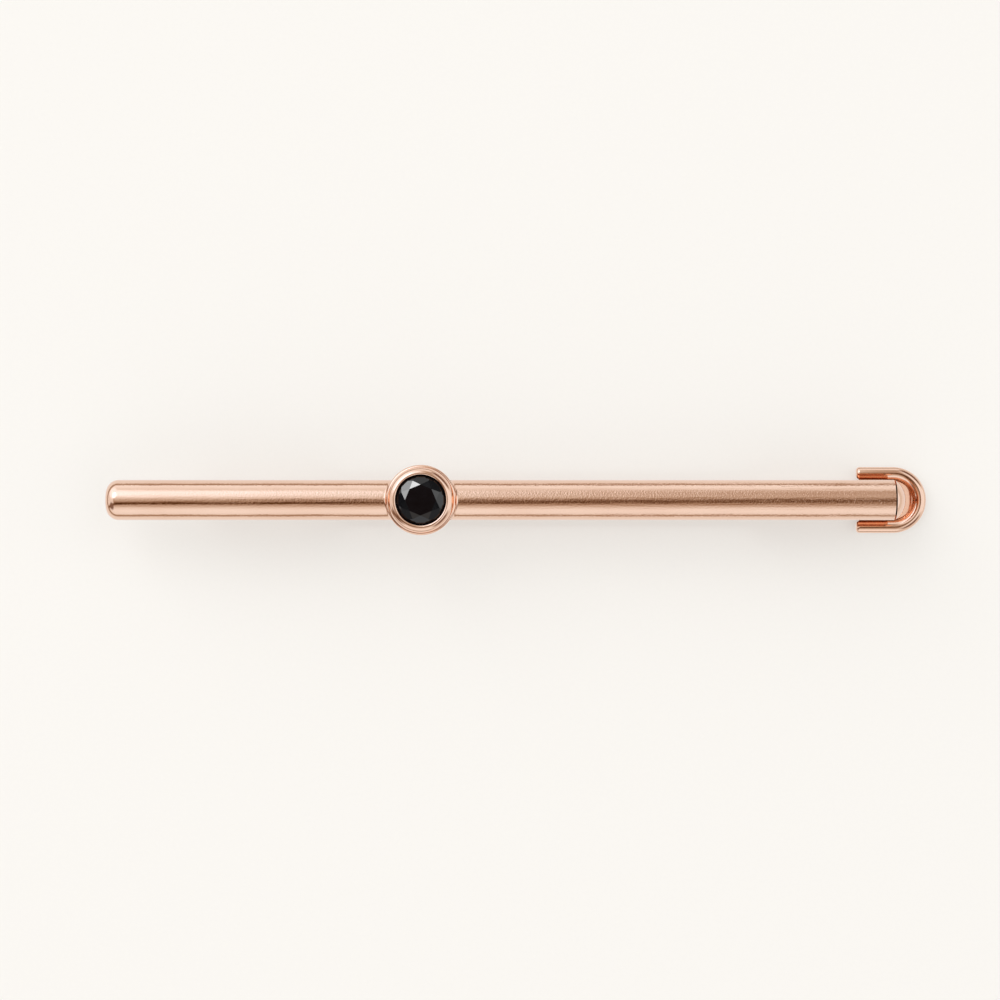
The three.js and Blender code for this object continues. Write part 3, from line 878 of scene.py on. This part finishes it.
buffed_gold = rose_gold(
    "rose_gold_drawn_and_buffed", BRIGHT, hairline_mm=(2.5, 0.12), grain_mm=0.12,
    roughness=(0.05, 0.11), relief_mm=(0.005, 0.013))
mirror_gold = rose_gold(
    "rose_gold_mirror_polished", BRIGHT, hairline_mm=(0.8, 0.15), grain_mm=0.15,
    roughness=(0.08, 0.15), relief_mm=(0.001, 0.001))
satin_gold = rose_gold(
    "rose_gold_tumbled_satin", DULL, hairline_mm=(1.2, 0.1), grain_mm=0.08,
    roughness=(0.18, 0.28), relief_mm=(0.002, 0.002))
print("Rose gold finishes:", [m.name for m in (buffed_gold, mirror_gold, satin_gold)])

# %% [markdown]
# ## Spring steel
# The pin and the spring are hard-drawn steel wire: cooler and greyer than the gold, with fine lines
# from the drawing die. The lines are drawn a little coarser than real ones so that they show.

# %% Drawn steel wire
DIE_LINE = 0.05 * MM
DIE_DEPTH = 0.002 * MM

steel, tree = new_material("spring_steel_drawn_wire")
place = add(tree, "ShaderNodeTexCoord").outputs["Object"]
die_lines = add(tree, "ShaderNodeTexNoise", {
    "Vector": place, "Scale": 1 / DIE_LINE, "Detail": 3}).outputs["Fac"]
grey = add(tree, "ShaderNodeValToRGB", {"Fac": die_lines}, stops=[(0, "#A9AAAB"), (1, "#CFCFCD")])
sheen = add(tree, "ShaderNodeMapRange", {
    "Value": die_lines, "To Min": 0.18, "To Max": 0.38}).outputs[0]
relief = add(tree, "ShaderNodeBump", {
    "Height": die_lines, "Strength": 1, "Distance": DIE_DEPTH}).outputs[0]
metal = add(tree, "ShaderNodeBsdfPrincipled", {
    "Base Color": grey.outputs[0], "Metallic": 1, "Roughness": sheen, "Normal": relief})
add(tree, "ShaderNodeOutputMaterial", {"Surface": metal.outputs[0]})
print("Made", steel.name)

# %% [markdown]
# ## Black stone
# The stone is black onyx, cut and polished. It is opaque and shows almost no colour, only sharp
# reflections on flat facets, which are bright where a facet faces a light and black elsewhere. A
# trace of smoky clouding, in colour and in polish, keeps it from being one flat black.

# %% Cut black onyx
CLOUD = 0.6 * MM
ONYX_IOR = 1.54

onyx, tree = new_material("black_onyx_cut_and_polished")
place = add(tree, "ShaderNodeTexCoord").outputs["Object"]
clouds = add(tree, "ShaderNodeTexNoise", {
    "Vector": place, "Scale": 1 / CLOUD, "Detail": 4}).outputs["Fac"]
smoke = add(tree, "ShaderNodeValToRGB", {"Fac": clouds}, stops=[(0, "#040405"), (1, "#101013")])
polish = add(tree, "ShaderNodeMapRange", {
    "Value": clouds, "To Min": 0.02, "To Max": 0.06}).outputs[0]
gem = add(tree, "ShaderNodeBsdfPrincipled", {
    "Base Color": smoke.outputs[0], "Roughness": polish, "IOR": ONYX_IOR})
add(tree, "ShaderNodeOutputMaterial", {"Surface": gem.outputs[0]})
print("Made", onyx.name)

# %% [markdown]
# ## Dressing
# Each finish goes on the pieces that share it. The stone's bearing and the bezel's rivet keep their
# CAD meshes and only take the satin gold, because just the rivet's end shows, on the bar's back.

# %% Dress every piece
finishes = {
    buffed_gold: [bar],
    mirror_gold: [left_plug, right_plug, bezel, loop],
    satin_gold: [bracket, arm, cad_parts["stone_bearing"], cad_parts["bezel_rivet"]],
    steel: [pin, spring],
    onyx: [stone],
}
for finish, wearers in finishes.items():
    for piece in wearers:
        piece.data.materials.clear()
        piece.data.materials.append(finish)
    print(finish.name, "on", [piece.name for piece in wearers])

# %% [markdown]
# ## The table
# The tie bar lies on a sheet of warm white paper. It is matte with a faint tooth, and takes the
# soft shadow that shows how far the bar stands above it. The paper is partly lit from behind, as on
# a light table, and only the camera sees that glow, so the shadow stays pale.

# %% The sheet of paper
FLOOR_HALF = 500 * MM
FLOOR_DROP = 0.01 * MM

clear_selection()
bpy.ops.mesh.primitive_plane_add(size=2 * FLOOR_HALF, location=(0, 0, -FLOOR_DROP))
floor = start_piece("paper")
bpy.ops.mesh.subdivide(number_cuts=3)
bpy.ops.object.mode_set(mode="OBJECT")
floor.visible_glossy = False
print("Paper:", round(2 * FLOOR_HALF / MM), "mm square")

# %% Warm white paper
TOOTH = 0.3 * MM
GLOW_SHARE = 0.55

paper, tree = new_material("paper_warm_white_matte")
place = add(tree, "ShaderNodeTexCoord").outputs["Object"]
tooth = add(tree, "ShaderNodeTexNoise", {
    "Vector": place, "Scale": 1 / TOOTH, "Detail": 3}).outputs["Fac"]
white = add(tree, "ShaderNodeValToRGB", {"Fac": tooth}, stops=[(0, "#EFECE7"), (1, "#F1EEE9")])
sheet = add(tree, "ShaderNodeBsdfPrincipled", {"Base Color": white.outputs[0], "Roughness": 0.9})
glow = add(tree, "ShaderNodeEmission", {"Color": white.outputs[0], "Strength": 1})
seen = add(tree, "ShaderNodeLightPath").outputs["Is Camera Ray"]
share = add(tree, "ShaderNodeMath", {0: seen, 1: GLOW_SHARE}, operation="MULTIPLY").outputs[0]
lit = add(tree, "ShaderNodeMixShader", {0: share, 1: sheet.outputs[0], 2: glow.outputs[0]})
add(tree, "ShaderNodeOutputMaterial", {"Surface": lit.outputs[0]})
floor.data.materials.append(paper)
print("Made", paper.name)

# %% [markdown]
# ## Light
# Polished metal shows the room, so the room is drawn by direction: pale walls all round, a ceiling
# that darkens towards the camera's dark spot overhead, one soft window along the far side, and the
# pale table with a thin dark gap where the walls begin. Real lamps could do this too, but it takes
# many of them to draw one smooth reflection. Metal and stone see this room with its colours. The
# paper is lit by the same levels without any colour, so it stays plain.

# %% Directions, as a lean across the bar and a share along it
world = bpy.data.worlds.new("studio")
bpy.context.scene.world = world
world.use_nodes = True
tree = world.node_tree
tree.nodes.clear()
ray = add(tree, "ShaderNodeLightPath").outputs
direction = add(tree, "ShaderNodeTexCoord").outputs["Generated"]
toward = add(tree, "ShaderNodeSeparateXYZ", {0: direction}).outputs
lean = add(tree, "ShaderNodeMath", {
    0: toward["Y"], 1: toward["Z"]}, operation="ARCTAN2").outputs[0]
leaning = add(tree, "ShaderNodeMapRange", {
    "Value": lean, "From Min": -math.pi / 2, "From Max": math.pi / 2}).outputs[0]
along = add(tree, "ShaderNodeMapRange", {
    "Value": toward["X"], "From Min": -1, "From Max": 1}).outputs[0]
upward = add(tree, "ShaderNodeMapRange", {
    "Value": toward["Z"], "From Min": -1, "From Max": 1}).outputs[0]


def by_degrees(levels):
    """Stops of a ramp that goes from -90 to 90 degrees of lean."""
    return [((degrees + 90) / 180, level) for degrees, level in levels]


def by_share(levels):
    """Stops of a ramp that goes from -1 to 1, as a direction's parts do."""
    return [((share + 1) / 2, level) for share, level in levels]


print("Directions read by", len(tree.nodes), "nodes")


# %% Walls and ceiling, and the window that fades along the bar
ceiling = add(tree, "ShaderNodeValToRGB", {"Fac": leaning}, stops=by_degrees([
    (-90, 0.92), (-80, 1), (-63, 1.03), (-50, 0.92), (-37, 0.63), (-26, 0.36), (-14, 0.24),
    (0, 0.25), (10, 0.36), (22, 0.52), (37, 0.38), (50, 0.49), (62, 0.8), (70, 0.97), (82, 1.06),
    (90, 1.06)])).outputs[0]
window = add(tree, "ShaderNodeValToRGB", {"Fac": leaning}, stops=by_degrees([
    (-14, 0), (-8.5, 0.14), (-3, 0.32), (8.5, 0.44), (20, 0.6), (32, 0.83), (37, 0.96), (44, 0.99),
    (50, 0.83), (56, 0.45), (63, 0)])).outputs[0]
window_reach = add(tree, "ShaderNodeValToRGB", {"Fac": along}, stops=by_share([
    (-0.6, 0), (-0.35, 1), (-0.126, 1), (-0.072, 0.87), (0.036, 0.22), (0.108, 0)])).outputs[0]
above = add(tree, "ShaderNodeMath", {
    0: window, 1: window_reach, 2: ceiling}, operation="MULTIPLY_ADD").outputs[0]
end_walls = add(tree, "ShaderNodeValToRGB", {"Fac": along}, stops=by_share([
    (-0.65, 0.9), (-0.35, 0), (0.16, 0), (0.34, 1.05)])).outputs[0]
above = add(tree, "ShaderNodeMath", {0: above, 1: end_walls}, operation="MAXIMUM").outputs[0]
print("Walls, ceiling and window:", len(tree.nodes), "nodes so far")

# %% The dark spot overhead, and the lens in it
LENS_TOWARD = Vector((-0.028, 0, 1)).normalized()

spot_place = add(tree, "ShaderNodeValToRGB", {"Fac": along}, stops=by_share([
    (-1, 0.42), (-0.85, 0.42), (-0.5, 0.38), (-0.126, 0.35), (0.108, 0.105), (0.17, 0)])).outputs[0]
spot_offset = add(tree, "ShaderNodeMath", {
    0: toward["Y"], 1: spot_place}, operation="ADD").outputs[0]
spot_distance = add(tree, "ShaderNodeMath", {0: spot_offset}, operation="ABSOLUTE").outputs[0]
spot = add(tree, "ShaderNodeValToRGB", {"Fac": spot_distance}, stops=[
    (0, 0.1), (0.05, 0.25), (0.15, 1)]).outputs[0]
spot_reach = add(tree, "ShaderNodeValToRGB", {"Fac": along}, stops=by_share([
    (0.17, 1), (0.32, 0)])).outputs[0]
spot = add(tree, "ShaderNodeMix", {"Factor": spot_reach, "A": 1, "B": spot}).outputs[0]
lens_distance = add(tree, "ShaderNodeVectorMath", {
    0: direction, 1: LENS_TOWARD}, operation="DISTANCE").outputs["Value"]
lens = add(tree, "ShaderNodeValToRGB", {"Fac": lens_distance}, stops=[
    (0.04, 0.1), (0.08, 1)]).outputs[0]
print("Dark spot and lens:", len(tree.nodes), "nodes so far")

# %% The dark corners of the room at the right
NEAR_SIDE_SHARE = 0.45

sideways = add(tree, "ShaderNodeMath", {0: toward["Y"]}, operation="ABSOLUTE").outputs[0]
diagonal = add(tree, "ShaderNodeMath", {
    0: toward["X"], 1: sideways}, operation="MULTIPLY").outputs[0]
diagonal = add(tree, "ShaderNodeMapRange", {
    "Value": diagonal, "From Min": -1, "From Max": 1}).outputs[0]
corners = add(tree, "ShaderNodeValToRGB", {"Fac": diagonal}, stops=by_share([
    (0.26, 0), (0.4, 0.88)])).outputs[0]
low_band = add(tree, "ShaderNodeValToRGB", {"Fac": upward}, stops=by_share([
    (0, 0), (0.05, 1), (0.5, 1), (0.62, 0)])).outputs[0]
near_side = add(tree, "ShaderNodeMapRange", {
    "Value": toward["Y"], "From Min": -0.2, "From Max": 0.2, "To Min": NEAR_SIDE_SHARE}).outputs[0]
for share in (low_band, near_side):
    corners = add(tree, "ShaderNodeMath", {0: corners, 1: share}, operation="MULTIPLY").outputs[0]
corners = add(tree, "ShaderNodeMath", {0: 1, 1: corners}, operation="SUBTRACT").outputs[0]
room = above
for share in (spot, lens, corners):
    room = add(tree, "ShaderNodeMath", {0: room, 1: share}, operation="MULTIPLY").outputs[0]
print("Dark corners:", len(tree.nodes), "nodes so far")

# %% [markdown]
# The table is pale where the metal mirrors it directly. A second reflection shows the table under
# the bar, which lies in shade. Darker parts of the room are also warmer: each colour channel is the
# level to its own power, and a level of one stays white.

# %% Table below, and warmth
TABLE_SHADE = 0.2
WARMTH = (0.82, 1.12, 1.42)

table_top = add(tree, "ShaderNodeValToRGB", {"Fac": upward}, stops=by_share([
    (-0.34, 0.9), (-0.3, 0)])).outputs[0]
gap = add(tree, "ShaderNodeValToRGB", {"Fac": along}, stops=by_share([
    (0.25, 0.38), (0.5, 0.75)])).outputs[0]
table_top = add(tree, "ShaderNodeMath", {0: table_top, 1: gap}, operation="MAXIMUM").outputs[0]
shade = add(tree, "ShaderNodeMapRange", {
    "Value": ray["Glossy Depth"], "From Min": 1, "From Max": 2,
    "To Min": 1, "To Max": TABLE_SHADE}).outputs[0]
table_top = add(tree, "ShaderNodeMath", {0: table_top, 1: shade}, operation="MULTIPLY").outputs[0]
table_share = add(tree, "ShaderNodeValToRGB", {"Fac": upward}, stops=by_share([
    (-0.07, 1), (-0.04, 0)])).outputs[0]
level = add(tree, "ShaderNodeMix", {
    "Factor": table_share, "A": room, "B": table_top}).outputs[0]
warm = [add(tree, "ShaderNodeMath", {0: level, 1: power}, operation="POWER").outputs[0]
        for power in WARMTH]
reflected = add(tree, "ShaderNodeCombineColor", {
    "Red": warm[0], "Green": warm[1], "Blue": warm[2]}).outputs[0]
print("Table and warmth:", len(tree.nodes), "nodes so far")

# %% [markdown]
# Round patches of light and dark hang in this room. The softbox's cloth is at the upper left, a
# little brighter than the walls, with a hot core above it, and three brown curtains darken the
# walls. Round the stone stand small lamps and black cards, one for each facet that should flash or
# go dark. A flat facet sees only one of them, and the curved metal hardly shows them.

# %% A patch in the room
def facing(turn, rise):
    """The direction towards a place in the room, from its turn and its rise in degrees."""
    turn, rise = math.radians(turn), math.radians(rise)
    level_reach = math.cos(rise)
    return Vector((math.cos(turn) * level_reach, math.sin(turn) * level_reach, math.sin(rise)))


def hang(behind, place, edge, light):
    """Hangs a patch in front of what is behind it. Its edge fades in between two cosines."""
    nearness = add(tree, "ShaderNodeVectorMath", {
        0: direction, 1: facing(*place)}, operation="DOT_PRODUCT").outputs["Value"]
    patch = add(tree, "ShaderNodeMapRange", {
        "Value": nearness, "From Min": edge[0], "From Max": edge[1]}).outputs[0]
    return add(tree, "ShaderNodeMix", {
        "Factor": patch, 6: behind, 7: light}, data_type="RGBA").outputs[2]


# %% Softbox and curtains
CLOTH_PLACE = (135, 32)
CLOTH_EDGE = (0.84, 0.92)
CLOTH_LIGHT = (1.25, 1.3, 1.4, 1)
CORE_PLACE = (135, 50)
CORE_EDGE = (0.94, 0.975)
CORE_LIGHT = (1.7, 1.9, 2.2, 1)
CURTAIN_PLACES = [(213, 27), (50, 25), (315, 30)]
CURTAIN_EDGE = (0.92, 0.98)
CURTAIN_BROWN = to_linear("#84695A")

reflected = hang(reflected, CLOTH_PLACE, CLOTH_EDGE, CLOTH_LIGHT)
reflected = hang(reflected, CORE_PLACE, CORE_EDGE, CORE_LIGHT)
for curtain in CURTAIN_PLACES:
    reflected = hang(reflected, curtain, CURTAIN_EDGE, CURTAIN_BROWN)
print("Softbox and", len(CURTAIN_PLACES), "curtains:", len(tree.nodes), "nodes so far")

# %% Lamps and cards for the facets, as turn, rise and light
PANE_EDGE = (0.99978, 0.9999)
LAMPS = [(114.7, 46.9, 17), (136.2, 20.4, 6.7), (158.4, 46, 8.4), (23.5, 49, 1.8), (0, 23.2, 1.4)]
CARDS = [(180, 19.9, 0.05), (223.8, 20.4, 0.25), (201.6, 46, 0.1), (46.3, 22.7, 0.12),
         (69.8, 48.1, 0.2), (313.7, 22.7, 0.35), (336.5, 49, 0.1)]

for turn, rise, strength in LAMPS + CARDS:
    reflected = hang(reflected, (turn, rise), PANE_EDGE, (strength, strength, strength, 1))
print(len(LAMPS), "lamps and", len(CARDS), "cards round the stone")

# %% [markdown]
# Light that passes from gold to gold takes on more of its colour each time. So the room turns
# orange from the second reflection to the third, which colours the narrow groove between the wire
# and the arm. At last each kind of ray gets its view: the camera a plain backdrop, glossy rays the
# room in colour, and all others its levels alone, a little raised.

# %% What each kind of ray sees
BOUNCED_TINT = (1.2, 0.7, 0.35, 1)
PAPER_SHARE = 1.4
BACKDROP = (0.965, 0.945, 0.9, 1)

bounced = add(tree, "ShaderNodeMapRange", {
    "Value": ray["Glossy Depth"], "From Min": 1, "From Max": 3}).outputs[0]
reflected = add(tree, "ShaderNodeMix", {
    "Factor": bounced, 6: reflected, 7: BOUNCED_TINT},
    data_type="RGBA", blend_type="MULTIPLY").outputs[2]
raised = add(tree, "ShaderNodeMath", {0: level, 1: PAPER_SHARE}, operation="MULTIPLY").outputs[0]
plain = add(tree, "ShaderNodeMix", {
    "Factor": ray["Is Camera Ray"], 6: raised, 7: BACKDROP}, data_type="RGBA").outputs[2]
shown = add(tree, "ShaderNodeMix", {
    "Factor": ray["Is Glossy Ray"], 6: plain, 7: reflected}, data_type="RGBA").outputs[2]
background = add(tree, "ShaderNodeBackground", {"Color": shown, "Strength": 1})
add(tree, "ShaderNodeOutputWorld", {"Surface": background.outputs[0]})
print("Studio drawn with", len(tree.nodes), "nodes")

# %% [markdown]
# One lamp lights the paper from the upper left and throws the bar's soft shadow. The metal doesn't
# see it, because the room already has the softbox drawn in.

# %% Softbox for the paper
SOFTBOX_DISTANCE = 1200 * MM
SOFTBOX_SIZE = 870 * MM
SOFTBOX_WATTS = 5.4

softbox_toward = facing(*CLOTH_PLACE)
softbox_place = SOFTBOX_DISTANCE * softbox_toward
clear_selection()
bpy.ops.object.light_add(
    type="AREA", location=softbox_place,
    rotation=softbox_toward.to_track_quat("Z", "Y").to_euler())
softbox = bpy.context.object
softbox.name = "softbox"
softbox.data.size = SOFTBOX_SIZE
softbox.data.energy = SOFTBOX_WATTS
softbox.visible_glossy = False
softbox.visible_camera = False
print("Softbox at", [round(part / MM) for part in softbox_place], "mm")

# %% [markdown]
# ## Camera
# The bar is seen from straight above through a short telephoto lens, so that its sides stay
# parallel. The image is square, and the distance follows from the length of bar that fills it.

# %% A camera straight above
LENS = 100
SENSOR = 36
VIEW_WIDTH = 74.42 * MM
VIEW_SHIFT = -1.488 * MM

camera_height = bar_z + VIEW_WIDTH * LENS / SENSOR
clear_selection()
bpy.ops.object.camera_add(location=(VIEW_SHIFT, 0, camera_height), rotation=(0, 0, 0))
camera = bpy.context.object
camera.data.lens = LENS
camera.data.sensor_width = SENSOR
camera.data.clip_start = 1 * MM
bpy.context.scene.camera = camera
bpy.context.scene.view_settings.view_transform = "Standard"
print("Camera height, mm:", round(camera_height / MM, 1))
